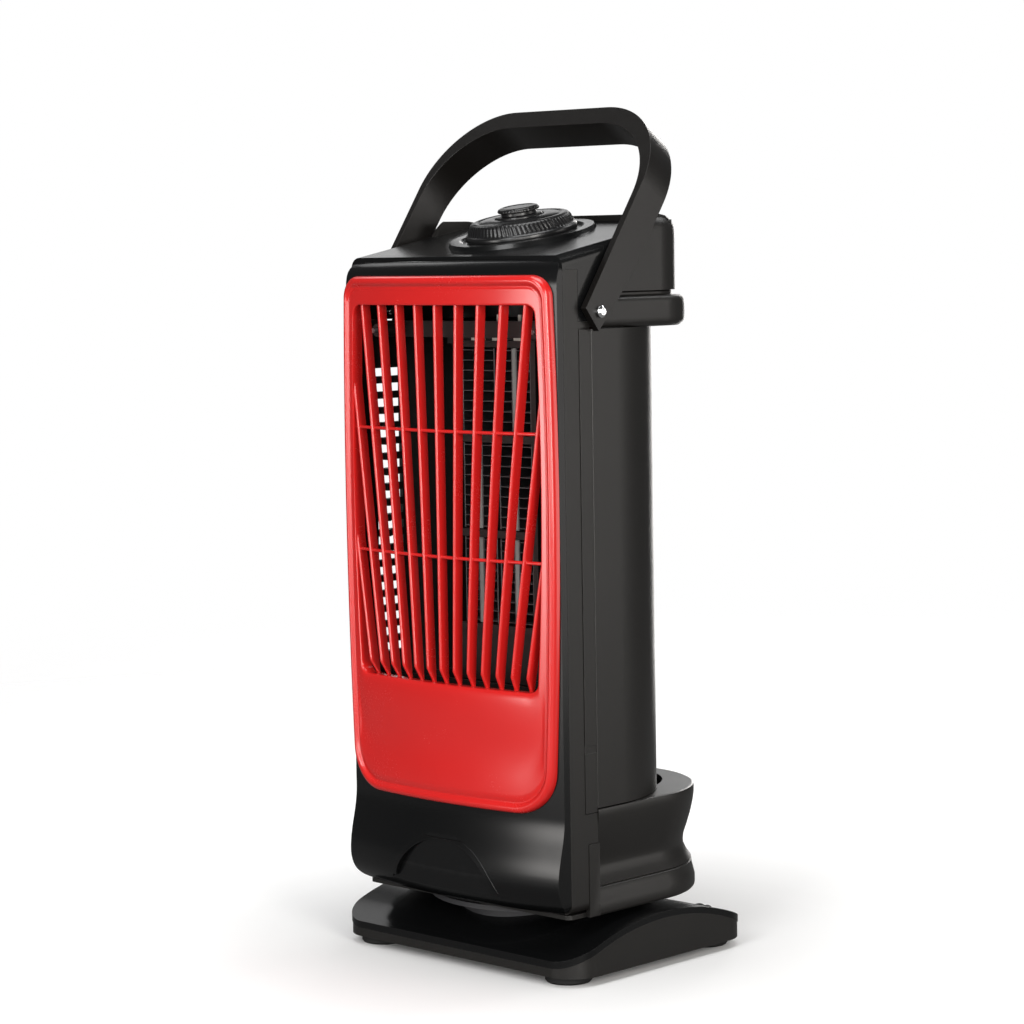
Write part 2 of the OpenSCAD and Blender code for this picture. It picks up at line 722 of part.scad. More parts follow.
module thermal_fuse() {
  color("#d7d9da") translate([-20, heat_y + 10, 172]) rotate([0, 90, 0]) {
    translate([0, 0, -6]) cylinder(d = 4.6, h = 12);
    translate([0, 0, -14]) cylinder(d = 1.2, h = 28);
    for (s = [-1, 1]) translate([-1.6, -2.6, s * 12 - 1.6]) cube([3.2, 3.4, 3.2]);
  }
}

// ---------- fan ----------
module at_fan() { translate([fan_x, fan_y, 0]) children(); }

module impeller() {
  color("#caccce") at_fan() {
    for (z = [158, 220, 282, 336]) tube(fan_r, fan_r - 9, z, z + 1);
    for (z = [158, 336]) translate([0, 0, z]) difference() {
      cylinder(r = fan_r - 8, h = 1);
      translate([0, 0, -1]) cylinder(r = 2.5, h = 3);
    }
    for (i = [0 : blades - 1]) rotate([0, 0, i * 360 / blades]) translate([fan_r - 7.5, 0, 158])
      rotate([0, 0, 28]) translate([0, -0.4, 0]) cube([6.4, 0.8, 179]);
  }
}

module fan_shaft() {
  color("#9fa2a5") at_fan() translate([0, 0, 103]) cylinder(r = 2.5, h = 239.6);
}

module fan_rotor() {
  color("#8b8f94") at_fan() tube(12.6, 2.5, 113, 131);
}

module motor_stator() {
  color("#7c7f83") at_fan() difference() {
    translate([-26, -30, 114]) cube([52, 54, 16]);
    translate([0, 0, 110]) cylinder(r = 13, h = 30);
    translate([-15, -23, 110]) cube([30, 8.6, 30]);
    for (s = [-1, 1]) translate([s * 20, 18, 110]) cylinder(d = 4.2, h = 30);
  }
}

module motor_coil() {
  color("#a2562c") at_fan() difference() {
    translate([-14, -37.4, 107]) cube([28, 22.6, 30]);
    translate([-30, -30.1, 113.9]) cube([60, 7.2, 16.2]);
  }
}

module motor_brackets() {
  color("#b0b2b4") at_fan() for (z = [108, 134]) difference() {
    union() {
      translate([-24, -8, z]) cube([48, 30, 2]);
      translate([0, 0, z - 1.5]) cylinder(r = 6, h = 5);
      for (s = [-1, 1]) translate([s * 20, 18, z < 120 ? z : 130]) cylinder(d = 7, h = z < 120 ? 6 : 4.1);
    }
    translate([0, 0, 100]) cylinder(r = 2.5 + run, h = 50);
    for (s = [-1, 1]) translate([s * 20, 18, 100]) cylinder(d = 4.2, h = 50);
  }
}

module motor_bolts() {
  color("#c2c4c6") at_fan() for (s = [-1, 1]) translate([s * 20, 18, 136]) pan_screw(4, 30.5, 7, 2.4);
}

module motor_mount() {
  color("#333435") difference() {
    union() {
      translate([-34, -40.1, 96.4]) cube([72, 80.1, 3]);
      for (s = [-1, 1]) at_fan() translate([s * 20, 18, 98]) cylinder(d = 9, h = 10);
      translate([-34, -40.1, 96.4]) cube([72, 3, 12]);
    }
    at_fan() translate([0, 0, 90]) cylinder(r = 10, h = 20);
    for (s = [-1, 1]) at_fan() translate([s * 20, 18, 105.4]) cylinder(d = 4.2, h = 6);
  }
}

module top_bearing() {
  color("#c9a24a") at_fan() tube(6, 2.5 + run, 338.4, 343.4);
}

module bearing_bridge() {
  color("#333435") difference() {
    union() {
      translate([-46, fan_y - 7, 339.4]) cube([96, 14, 3]);
      at_fan() translate([0, 0, 338.8]) cylinder(r = 9, h = 4.2);
    }
    at_fan() translate([0, 0, 330]) cylinder(r = 6, h = 20);
  }
}

// curved guide behind the fan wheel
module fan_scroll() {
  color("#38393a") {
    at_fan() difference() {
      tube(29.4, 27.6, 150, 338);
      translate([0, 0, 140]) linear_extrude(210) polygon([[0, 0], [60 * cos(-42), 60 * sin(-42)],
        [30, -80], [-80, -80], [-80, 80], [60 * cos(100), 60 * sin(100)]]);
    }
    translate([0, 0, 150]) linear_extrude(188)
      polygon([[22.3, -0.9], [24.3, -1.9], [35.4, -15], [35.4, -18], [31.2, -18], [31.2, -16.4],
        [33.6, -15.6]]);
  }
}

// tongue that parts inlet and outlet air
module fan_tongue() {
  color("#38393a") translate([0, 0, 150]) linear_extrude(188)
    polygon([[-33, -17.9], [-26.5, -10], [-25, -11], [-30.4, -17.9]]);
}

module body_screws() {
  color("#9b9da0") for (s = [-1, 1], z = [104, 340])
    translate([s * 60, -42.4 + 2.4, z]) rotate([-90, 0, 0]) pan_screw(2.6, 24, 6, 1.8);
}

base_feet();
base_floor();
base_shell();
base_cover();
base_screws();
swivel_bush();
crank_yoke();
cord_gland();
body_floor();
hub_retainer();
swivel_motor();
crank_disc();
cord_tray();
tilt_switch();
front_shell();
chin_badge();
body_frame();
left_strip();
right_strip();
rear_column();
cap_rim();
rear_cap();
top_deck();
grille();
bail_handle();
left_pivot_screw();
right_pivot_screw();
pivot_washers();
mode_dial();
mode_shaft();
thermostat_knob();
thermostat_shaft();
rotary_switch();
thermostat_body();
heater_frame();
ptc_stones();
heater_fins();
terminal_blocks();
thermal_cutoff();
thermal_fuse();
impeller();
fan_shaft();
fan_rotor();
motor_stator();
motor_coil();
motor_brackets();
motor_bolts();
motor_mount();
top_bearing();
bearing_bridge();
fan_scroll();
fan_tongue();
body_screws();
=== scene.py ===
import json
import math

import bmesh
import bpy
from mathutils import Matrix, Vector


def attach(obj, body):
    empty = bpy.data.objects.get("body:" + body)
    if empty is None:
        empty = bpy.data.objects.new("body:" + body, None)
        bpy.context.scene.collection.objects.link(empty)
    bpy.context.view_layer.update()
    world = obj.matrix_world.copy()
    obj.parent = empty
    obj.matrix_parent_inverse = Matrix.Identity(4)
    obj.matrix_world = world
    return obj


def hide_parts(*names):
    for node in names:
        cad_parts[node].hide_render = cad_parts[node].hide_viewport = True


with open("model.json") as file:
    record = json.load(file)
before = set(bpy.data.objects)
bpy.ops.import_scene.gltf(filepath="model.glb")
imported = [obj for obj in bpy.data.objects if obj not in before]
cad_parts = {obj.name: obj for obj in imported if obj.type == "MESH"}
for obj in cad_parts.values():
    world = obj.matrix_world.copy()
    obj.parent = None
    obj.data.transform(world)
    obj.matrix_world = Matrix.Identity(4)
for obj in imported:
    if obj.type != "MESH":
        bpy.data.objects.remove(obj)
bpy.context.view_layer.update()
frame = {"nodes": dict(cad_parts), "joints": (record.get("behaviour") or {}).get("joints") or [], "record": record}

nodes = frame["nodes"]
scene = bpy.context.scene
MM = 0.001


# ---------- camera ----------
camera_at = Vector((1.12062, -1.16754, 0.38382))
camera_turn, camera_pitch, camera_roll = 44.31, 5.10, 0.96
lens, sensor = 104.27, 36


def make_camera():
    az, pitch, roll = (math.radians(a) for a in (camera_turn, camera_pitch, camera_roll))
    fwd = Vector((-math.sin(az) * math.cos(pitch), math.cos(az) * math.cos(pitch), -math.sin(pitch)))
    right = Vector((math.cos(az), math.sin(az), 0))
    up = right.cross(fwd)
    x = math.cos(roll) * right - math.sin(roll) * up
    y = math.sin(roll) * right + math.cos(roll) * up
    data = bpy.data.cameras.new("camera")
    data.sensor_width = sensor
    data.lens = lens
    data.clip_start, data.clip_end = 0.05, 60
    cam = bpy.data.objects.new("camera", data)
    m = Matrix((x, y, -fwd)).transposed().to_4x4()
    m.translation = camera_at
    cam.matrix_world = m
    scene.collection.objects.link(cam)
    scene.camera = cam


make_camera()


# ---------- shader nodes ----------
def node(nt, kind, **values):
    n = nt.nodes.new(kind)
    for key, value in values.items():
        if key in n.inputs:
            n.inputs[key].default_value = value
        else:
            setattr(n, key, value)
    return n


def link(nt, a, b):
    nt.links.new(a, b)


def map_range(nt, value, low, high, to_low, to_high, smooth=False):
    """Node that maps value from low..high to to_low..to_high."""
    n = node(nt, "ShaderNodeMapRange")
    if smooth:
        n.interpolation_type = "SMOOTHSTEP"
    n.inputs["From Min"].default_value = low
    n.inputs["From Max"].default_value = high
    n.inputs["To Min"].default_value = to_low
    n.inputs["To Max"].default_value = to_high
    link(nt, value, n.inputs["Value"])
    return n


# ---------- light ----------
def area(name, at, to, size, size_y, power, colour=(1, 1, 1), feather=False):
    data = bpy.data.lights.new(name, "AREA")
    data.shape = "ELLIPSE" if feather else "RECTANGLE"
    data.size, data.size_y = size, size_y
    data.energy = power
    data.color = colour
    ob = bpy.data.objects.new(name, data)
    ob.location = at
    ob.rotation_mode = "QUATERNION"
    ob.rotation_quaternion = (Vector(to) - Vector(at)).to_track_quat("-Z", "Y")
    ob.visible_camera = False
    scene.collection.objects.link(ob)
    if feather:
        feather_light(data)


def feather_light(data):
    """Fades a light from its middle to its rim, so that its reflection has no outline."""
    data.use_nodes = True
    nt = data.node_tree
    lamp = nt.nodes["Emission"]
    geo = node(nt, "ShaderNodeNewGeometry")
    away = node(nt, "ShaderNodeVectorMath", operation="DISTANCE")
    away.inputs[1].default_value = (0.5, 0.5, 0)
    link(nt, geo.outputs["Parametric"], away.inputs[0])
    fade = map_range(nt, away.outputs["Value"], 0, 0.48, 1, 0, smooth=True)
    link(nt, fade.outputs[0], lamp.inputs["Strength"])


room_light = 0.09          # of the room, where the camera doesn't look at it


def make_world():
    """White to the camera, dim to everything else, so that dark pieces stay dark."""
    world = bpy.data.worlds.new("studio")
    scene.world = world
    world.use_nodes = True
    nt = world.node_tree
    nt.nodes.clear()
    out = node(nt, "ShaderNodeOutputWorld")
    soft = node(nt, "ShaderNodeBackground", Color=(1, 1, 1, 1), Strength=room_light)
    plain = node(nt, "ShaderNodeBackground", Color=(1, 1, 1, 1), Strength=1.0)
    path = node(nt, "ShaderNodeLightPath")
    mix = node(nt, "ShaderNodeMixShader")
    link(nt, path.outputs["Is Camera Ray"], mix.inputs[0])
    link(nt, soft.outputs[0], mix.inputs[1])
    link(nt, plain.outputs[0], mix.inputs[2])
    link(nt, mix.outputs[0], out.inputs[0])


floor_radius = 2.6
floor_drop = 0.0002        # below the feet
floor_fade = (0.45, 1.5)   # radii where the floor starts and ends to fade out
floor_seen, floor_unseen = 0.80, 0.16      # paleness to the camera and to other rays
glow_near, glow_far = (0.06, 0.02), (0.34, 0.36)   # radius and glow


def make_floor():
    bm = bmesh.new()
    bmesh.ops.create_circle(bm, cap_ends=True, segments=128, radius=floor_radius)
    me = bpy.data.meshes.new("floor")
    bm.to_mesh(me)
    bm.free()
    ob = bpy.data.objects.new("floor", me)
    ob.location.z = -floor_drop
    scene.collection.objects.link(ob)
    mat = bpy.data.materials.new("floor")
    mat.use_nodes = True
    nt = mat.node_tree
    bsdf = nt.nodes["Principled BSDF"]
    bsdf.inputs["Emission Color"].default_value = (1, 1, 1, 1)
    bsdf.inputs["Roughness"].default_value = 0.9
    bsdf.inputs["Specular IOR Level"].default_value = 0.1
    # white to look at, grey to light and reflections
    path = node(nt, "ShaderNodeLightPath")
    tone = node(nt, "ShaderNodeMix", data_type="RGBA")
    tone.inputs[6].default_value = (floor_unseen,) * 3 + (1,)
    tone.inputs[7].default_value = (floor_seen,) * 3 + (1,)
    link(nt, path.outputs["Is Camera Ray"], tone.inputs[0])
    link(nt, tone.outputs[2], bsdf.inputs["Base Color"])
    # fades out away from the object, so that there is no edge or horizon
    co = node(nt, "ShaderNodeTexCoord")
    length = node(nt, "ShaderNodeVectorMath", operation="LENGTH")
    link(nt, co.outputs["Object"], length.inputs[0])
    ramp = map_range(nt, length.outputs["Value"], *floor_fade, 1, 0, smooth=True)
    link(nt, ramp.outputs[0], bsdf.inputs["Alpha"])
    # a glow evens out the white; it is dimmer close to the object, a painted shade round it that deepens the real
    # contact shadow there
    (r0, dim), (r1, bright) = glow_near, glow_far
    near = map_range(nt, length.outputs["Value"], r0, r1, dim, bright, smooth=True)
    glow = node(nt, "ShaderNodeMath", operation="MULTIPLY")
    link(nt, path.outputs["Is Camera Ray"], glow.inputs[0])
    link(nt, near.outputs[0], glow.inputs[1])
    link(nt, glow.outputs[0], bsdf.inputs["Emission Strength"])
    me.materials.append(mat)


make_world()
make_floor()
# name, place, what it looks at, width, height, watts, colour, feathered
area("key", (0.35, -2.1, 1.5), (0, 0, 0.25), 0.9, 1.1, 24)
area("top", (0.2, -0.2, 2.4), (0, 0, 0.2), 1.4, 1.4, 26)
area("side", (2.0, -0.8, 0.7), (0, 0, 0.25), 0.6, 1.4, 29, (1.0, 0.97, 0.93))
area("sheen", (1.9, 1.22, 0.55), (0, 0, 0.25), 1.2, 1.6, 12, (1.0, 0.965, 0.93))
area("rim", (-0.95, 1.78, 0.4), (0, 0, 0.25), 0.4, 1.2, 9, (1.0, 0.975, 0.95))
area("fill", (1.35, -1.55, 0.5), (0, 0, 0.25), 0.9, 0.9, 13, (1.0, 0.98, 0.95))
area("strip", (0.62, -2.0, 0.35), (0, 0, 0.25), 0.3, 1.5, 7)
area("chin", (-0.5, -1.98, 0.2), (0, 0, 0.15), 1.1, 1.1, 34, (1.0, 0.97, 0.94), True)
area("back", (-1.5, 1.7, 0.85), (0, 0, 0.3), 1.2, 1.0, 4)
area("edge left", (-2.0, 0.5, 2.0), (0, 0, 0.2), 0.9, 0.7, 3.4)
area("edge back", (0.3, 2.0, 2.1), (0, 0, 0.2), 1.0, 0.7, 9)
scene.view_settings.view_transform = "Standard"
scene.view_settings.look = "None"


# ---------- materials ----------
edge_radius = 0.0011       # m, reach of the paler edges
mottle, wave, scuff = 26, 9, 180       # noise scales: slow mottling, moulding ripple, broken edges


def edge_mask(nt, width):
    """1 on convex and concave edges, 0 on open faces."""
    bevel = node(nt, "ShaderNodeBevel", samples=4, Radius=width)
    geo = node(nt, "ShaderNodeNewGeometry")
    dot = node(nt, "ShaderNodeVectorMath", operation="DOT_PRODUCT")
    link(nt, bevel.outputs[0], dot.inputs[0])
    link(nt, geo.outputs["Normal"], dot.inputs[1])
    return map_range(nt, dot.outputs["Value"], 0.995, 0.86, 0, 1)


def moulded(name, colour, rough, grain=0.05, pitch=0.5, vary=0.08, coat=0.0, coat_rough=0.05,
            ior=1.5, spec=0.5, edge=0.25, ripple=0.0, wear=0.06):
    """Moulded plastic, rubber or ceramic: grain of a pitch in mm, slow mottling, paler edges."""
    mat = bpy.data.materials.new(name)
    mat.use_nodes = True
    nt = mat.node_tree
    bsdf = nt.nodes["Principled BSDF"]
    bsdf.inputs["IOR"].default_value = ior
    bsdf.inputs["Specular IOR Level"].default_value = spec
    bsdf.inputs["Coat Weight"].default_value = coat
    bsdf.inputs["Coat Roughness"].default_value = coat_rough
    co = node(nt, "ShaderNodeTexCoord")
    fine = node(nt, "ShaderNodeTexNoise", Scale=1000 / pitch, Detail=3, Roughness=0.6)
    slow = node(nt, "ShaderNodeTexNoise", Scale=mottle, Detail=4, Roughness=0.55)
    for n in (fine, slow):
        link(nt, co.outputs["Object"], n.inputs["Vector"])
    mask = edge_mask(nt, edge_radius)
    # colour: slow mottling, then a paler edge
    dark = [c * (1 - vary) for c in colour]
    pale = [min(1, c * (1 + vary)) for c in colour]
    mix = node(nt, "ShaderNodeMix", data_type="RGBA")
    mix.inputs[6].default_value = (*dark, 1)
    mix.inputs[7].default_value = (*pale, 1)
    link(nt, slow.outputs["Fac"], mix.inputs[0])
    worn = node(nt, "ShaderNodeMix", data_type="RGBA")
    worn.inputs[7].default_value = (*[min(1, c * (1 + edge) + wear * 0.1) for c in colour], 1)
    breakup = node(nt, "ShaderNodeTexNoise", Scale=scuff, Detail=3)
    link(nt, co.outputs["Object"], breakup.inputs["Vector"])
    part = node(nt, "ShaderNodeMath", operation="MULTIPLY")
    link(nt, mask.outputs[0], part.inputs[0])
    link(nt, breakup.outputs["Fac"], part.inputs[1])
    link(nt, part.outputs[0], worn.inputs[0])
    link(nt, mix.outputs[2], worn.inputs[6])
    link(nt, worn.outputs[2], bsdf.inputs["Base Color"])
    # roughness: grain and mottling
    both = node(nt, "ShaderNodeMath", operation="MULTIPLY_ADD")
    both.inputs[1].default_value = 0.45
    link(nt, fine.outputs["Fac"], both.inputs[0])
    half = node(nt, "ShaderNodeMath", operation="MULTIPLY")
    half.inputs[1].default_value = 0.55
    link(nt, slow.outputs["Fac"], half.inputs[0])
    link(nt, half.outputs[0], both.inputs[2])
    spread = map_range(nt, both.outputs[0], 0, 1, rough * 0.82, min(1, rough * 1.2))
    link(nt, spread.outputs[0], bsdf.inputs["Roughness"])
    # normal: moulded grain, then slow ripple of a large moulding
    bump = node(nt, "ShaderNodeBump", Strength=grain, Distance=0.0002)
    link(nt, fine.outputs["Fac"], bump.inputs["Height"])
    last = bump
    if ripple:
        swell = node(nt, "ShaderNodeTexNoise", Scale=wave, Detail=1)
        link(nt, co.outputs["Object"], swell.inputs["Vector"])
        last = node(nt, "ShaderNodeBump", Strength=ripple, Distance=0.002)
        link(nt, swell.outputs["Fac"], last.inputs["Height"])
        link(nt, bump.outputs[0], last.inputs["Normal"])
    link(nt, last.outputs[0], bsdf.inputs["Normal"])
    return mat


def metal(name, colour, rough, brush=0.0, vary=0.1, bevel=0.0003):
    """Plated, brushed or cast metal. Brushing runs along x."""
    mat = bpy.data.materials.new(name)
    mat.use_nodes = True
    nt = mat.node_tree
    bsdf = nt.nodes["Principled BSDF"]
    bsdf.inputs["Metallic"].default_value = 1
    co = node(nt, "ShaderNodeTexCoord")
    stretch = node(nt, "ShaderNodeMapping")
    stretch.inputs["Scale"].default_value = (40, 900, 900) if brush else (300, 300, 300)
    link(nt, co.outputs["Object"], stretch.inputs["Vector"])
    fine = node(nt, "ShaderNodeTexNoise", Scale=3, Detail=4, Roughness=0.65)
    link(nt, stretch.outputs[0], fine.inputs["Vector"])
    slow = node(nt, "ShaderNodeTexNoise", Scale=60, Detail=3)
    link(nt, co.outputs["Object"], slow.inputs["Vector"])
    mix = node(nt, "ShaderNodeMix", data_type="RGBA")
    mix.inputs[6].default_value = (*[c * (1 - vary) for c in colour], 1)
    mix.inputs[7].default_value = (*[min(1, c * (1 + vary)) for c in colour], 1)
    link(nt, slow.outputs["Fac"], mix.inputs[0])
    link(nt, mix.outputs[2], bsdf.inputs["Base Color"])
    spread = map_range(nt, fine.outputs["Fac"], 0, 1, rough * 0.7, rough * 1.35)
    link(nt, spread.outputs[0], bsdf.inputs["Roughness"])
    edge_n = node(nt, "ShaderNodeBevel", samples=4, Radius=bevel)
    bump = node(nt, "ShaderNodeBump", Strength=0.08 + 0.2 * brush, Distance=0.0002)
    link(nt, fine.outputs["Fac"], bump.inputs["Height"])
    link(nt, edge_n.outputs[0], bump.inputs["Normal"])
    link(nt, bump.outputs[0], bsdf.inputs["Normal"])
    return mat


mats = {
    "satin_black": moulded("satin_black", (0.0085, 0.0079, 0.0072), 0.37, grain=0.22, pitch=0.45),
    "handle_black": moulded("handle_black", (0.0036, 0.0029, 0.0024), 0.33, grain=0.22, pitch=0.45),
    "gloss_black": moulded("gloss_black", (0.0030, 0.0032, 0.0034), 0.25, grain=0.015, pitch=1.2,
                           vary=0.04, coat=0.12, coat_rough=0.08, spec=0.29, edge=0.1, ripple=0.02),
    "dial_black": moulded("dial_black", (0.005, 0.005, 0.0054), 0.30, grain=0.05, pitch=0.6, coat=0.1,
                          coat_rough=0.15),
    "gloss_red": moulded("gloss_red", (0.56, 0.012, 0.011), 0.26, grain=0.02, pitch=1.0, vary=0.05,
                         coat=0.6, coat_rough=0.1, edge=0.12, ripple=0.02),
    "foot_rubber": moulded("foot_rubber", (0.012, 0.012, 0.012), 0.72, grain=0.3, pitch=0.6,
                           spec=0.35),
    "gland_rubber": moulded("gland_rubber", (0.014, 0.014, 0.014), 0.68, grain=0.3, pitch=0.6,
                            spec=0.35),
    "chrome_steel": metal("chrome_steel", (0.82, 0.83, 0.84), 0.10),
    "zinc_steel": metal("zinc_steel", (0.56, 0.57, 0.58), 0.32, brush=0.4),
    # the heater's aluminium is far darker than the bare metal: painted shade for the shade inside the body behind
    # the slats
    "bright_aluminium": metal("bright_aluminium", (0.15, 0.15, 0.155), 0.45, brush=0.8),
    "lamination_steel": metal("lamination_steel", (0.32, 0.33, 0.34), 0.42, brush=1.0),
    "copper_winding": metal("copper_winding", (0.62, 0.25, 0.11), 0.34, brush=1.0),
    "bearing_bronze": metal("bearing_bronze", (0.62, 0.46, 0.20), 0.38),
    "grey_ceramic": moulded("grey_ceramic", (0.23, 0.23, 0.22), 0.8, grain=0.4, pitch=0.9, spec=0.3),
    "white_ceramic": moulded("white_ceramic", (0.72, 0.69, 0.62), 0.3, grain=0.08, pitch=1.5, vary=0.05),
    "white_nylon": moulded("white_nylon", (0.70, 0.68, 0.60), 0.46, grain=0.12, pitch=0.8, vary=0.05),
    "bearing_nylon": moulded("bearing_nylon", (0.030, 0.030, 0.033), 0.5, grain=0.15, pitch=0.8),
}
for part in frame["record"]["subparts"]:
    nodes[part["node"]].material_slots[0].material = mats[part["material_slot"]]


# ---------- softened edges of the moulded pieces ----------
# The CAD meshes themselves stay as they are: all of this is done by modifiers.
def smooth_shading():
    """Node group that drops a mesh's stored normals and shades its faces smooth."""
    tree = bpy.data.node_groups.new("smooth_shading", "GeometryNodeTree")
    tree.interface.new_socket("Geometry", in_out="INPUT", socket_type="NodeSocketGeometry")
    tree.interface.new_socket("Geometry", in_out="OUTPUT", socket_type="NodeSocketGeometry")
    steps = [node(tree, kind) for kind in ("NodeGroupInput", "GeometryNodeRemoveAttribute",
                                           "GeometryNodeSetShadeSmooth", "NodeGroupOutput")]
    steps[1].inputs["Name"].default_value = "custom_normal"
    for a, b in zip(steps, steps[1:]):
        link(tree, a.outputs[0], b.inputs[0])
    return tree


shading = smooth_shading()


def soften(name, width, angle=30, segments=3):
    """Rounds the edges that are sharper than angle by width, in metres, and keeps flat faces flat."""
    ob = nodes[name]
    ob.modifiers.new("shading", "NODES").node_group = shading
    weld = ob.modifiers.new("weld", "WELD")
    weld.merge_threshold = 2e-6
    flat = ob.modifiers.new("flat", "DECIMATE")
    flat.decimate_type = "DISSOLVE"
    flat.angle_limit = math.radians(0.3)
    bev = ob.modifiers.new("bevel", "BEVEL")
    bev.width = width
    bev.segments = segments
    bev.limit_method = "ANGLE"
    bev.angle_limit = math.radians(angle)
    bev.harden_normals = True
    bev.miter_outer = "MITER_ARC"
    wn = ob.modifiers.new("normals", "WEIGHTED_NORMAL")
    wn.keep_sharp = True


for name, width in {
    "base_feet": 0.0008, "base_shell": 0.0012, "base_cover": 0.0012, "front_shell": 0.0012,
    "body_frame": 0.0007, "left_strip": 0.0003, "right_strip": 0.0003, "rear_column": 0.0006,
    "cap_rim": 0.0010, "rear_cap": 0.0010, "top_deck": 0.0010, "bail_handle": 0.0014,
    "cord_tray": 0.0007, "chin_badge": 0.0004, "body_floor": 0.0005, "cord_gland": 0.0004,
}.items():
    soften(name, width)


# ---------- dial ----------
slope = math.radians(10.7)     # of the deck, down towards the front
joint = next(j for j in frame["joints"] if j["name"] == "mode_turn")
deck_frame = Matrix.Translation(Vector(joint["pos_m"])) @ Matrix.Rotation(slope, 4, "X")


def lathe(name, profile, segments, shape, mat, body, slot_name, *gone):
    """Closed ring swept round the dial axis. profile holds radius and height in mm; shape moves them."""
    bm = bmesh.new()
    rings = []
    for k, (r, z) in enumerate(profile):
        ring = []
        for i in range(segments):
            a = 2 * math.pi * i / segments
            rr = r + shape(k, a, z)
            ring.append(bm.verts.new((rr * math.cos(a) * MM, rr * math.sin(a) * MM, z * MM)))
        rings.append(ring)
    for k in range(len(rings)):
        a, b = rings[k], rings[(k + 1) % len(rings)]
        for i in range(segments):
            j = (i + 1) % segments
            bm.faces.new((a[i], a[j], b[j], b[i]))
    bmesh.ops.recalc_face_normals(bm, faces=bm.faces)
    me = bpy.data.meshes.new(name)
    bm.to_mesh(me)
    bm.free()
    me.transform(deck_frame)
    me.materials.append(mat)
    ob = bpy.data.objects.new(name, me)
    scene.collection.objects.link(ob)
    me.polygons.foreach_set("use_smooth", [True] * len(me.polygons))
    me.set_sharp_from_angle(angle=math.radians(42))
    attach(ob, body)
    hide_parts(*gone)


dial_flutes = 72
flute_depth, flute_bias = 0.55, 0.7
flute_lean = 0.012             # radians per mm of height
dial_profile = [
    (3.9, 1.0), (29.6, 1.0), (30.3, 1.3), (30.5, 1.9), (30.5, 3.6), (30.2, 4.3), (29.6, 4.6),
    (29.3, 4.9), (28.9, 6.1), (28.3, 7.4), (27.7, 8.7), (27.2, 9.6), (26.5, 10.3), (25.6, 10.7),
    (24.8, 10.8), (23.6, 10.8), (23.1, 10.4), (22.2, 10.4), (21.7, 10.8), (16.0, 11.3), (14.2, 11.5),
    (13.5, 11.2), (13.4, 10.2), (12.8, 9.6), (3.9, 9.6)]
grip = {7: 0.2, 8: 1, 9: 1, 10: 1, 11: 0.6, 12: 0.15}      # how much each point of the profile is fluted


def dial_shape(k, a, z):
    if k not in grip:
        return 0
    rib = 0.5 + 0.5 * math.cos(dial_flutes * (a + flute_lean * (z - 4.9)))
    return flute_depth * grip[k] * (rib ** 0.6 - flute_bias)


lathe("mode_dial_knurled", dial_profile, dial_flutes * 8, dial_shape, mats["dial_black"], "dial",
      "dial_black", "mode_dial")
knob_flutes, knob_flute_depth = 36, 0.22
knob_profile = [
    (2.3, 9.9), (12.2, 9.9), (12.7, 10.3), (12.75, 11.4), (12.4, 12.1), (11.6, 12.4), (10.2, 12.5),
    (9.7, 12.7), (9.6, 13.9), (10.0, 14.2), (11.0, 14.3), (11.35, 14.6), (11.4, 15.1), (11.1, 15.8),
    (10.5, 16.3), (9.6, 16.6), (8.6, 16.7), (8.2, 16.45), (7.4, 16.4), (2.0, 16.5), (0.05, 16.5),
    (0.05, 14.0), (2.3, 14.0)]


def knob_shape(k, a, z):
    fluted = 11 <= k <= 13
    return -knob_flute_depth * (0.5 + 0.5 * math.cos(knob_flutes * a)) if fluted else 0


lathe("thermostat_knob_turned", knob_profile, knob_flutes * 8, knob_shape, mats["dial_black"], "knob",
      "dial_black", "thermostat_knob")

# ---------- outlet grille ----------
# millimetres; the front is bowed about an upright axis
front_r, front_y = 355.0, -74.5
# an outline: half widths at the top, middle and bottom, its two ends, upper and lower corner radius
rim_outline = (77, 79, 75.5, 89, 369.6, 12, 24)
step_outline = (71.5, 73.4, 70, 95.6, 362.8, 8, 19)
open_outline = (68.5, 70.5, 67, 153, 354, 6, 7)
plug_outline = (68.8, 71.3, 67.8, 104.3, 357.2, 10, 16)


def on_bow(x, z, f):
    """Point at x, z and a distance f in front of the bowed front, in metres."""
    return Vector((x, front_y + front_r - math.sqrt((front_r + f) ** 2 - x * x), z)) * MM


def half_width(o, z):
    """Half width of an outline at z, along its bowed sides."""
    wt, wm, wb, z0, z1, rt, rb = o
    t = (z - z0 - rb) / (z1 - rt - z0 - rb)
    return wb + (wt - wb) * t + 4 * (wm - (wb + wt) / 2) * t * (1 - t)


def outline(o):
    """Closed ring of x, z points, from the middle of the bottom round by the right side."""
    wt, wm, wb, z0, z1, rt, rb = o
    pts = [((wb - rb) * k / 10, z0) for k in range(10)]
    low, high = z0 + rb, z1 - rt
    pts += [(wb - rb + rb * math.cos(math.radians(a)), low + rb * math.sin(math.radians(a)))
            for a in range(-90, -2, 8)]
    side = [low + (z1 - rt - z0 - rb) * k / 24 for k in range(25)]
    pts += [(half_width(o, z), z) for z in side]
    pts += [(wt - rt + rt * math.cos(math.radians(a)), high + rt * math.sin(math.radians(a)))
            for a in range(6, 91, 7)]
    pts += [((wt - rt) * (9 - k) / 10, z1) for k in range(10)]
    return pts + [(-x, z) for x, z in reversed(pts[1:-1])]


def between(a, b, u):
    return tuple(p + (q - p) * u for p, q in zip(a, b))


def skin(bm, rings):
    """Joins closed rings of the same count, first to last."""
    for a, b in zip(rings, rings[1:]):
        for i in range(len(a)):
            j = (i + 1) % len(a)
            bm.faces.new((a[i], a[j], b[j], b[i]))


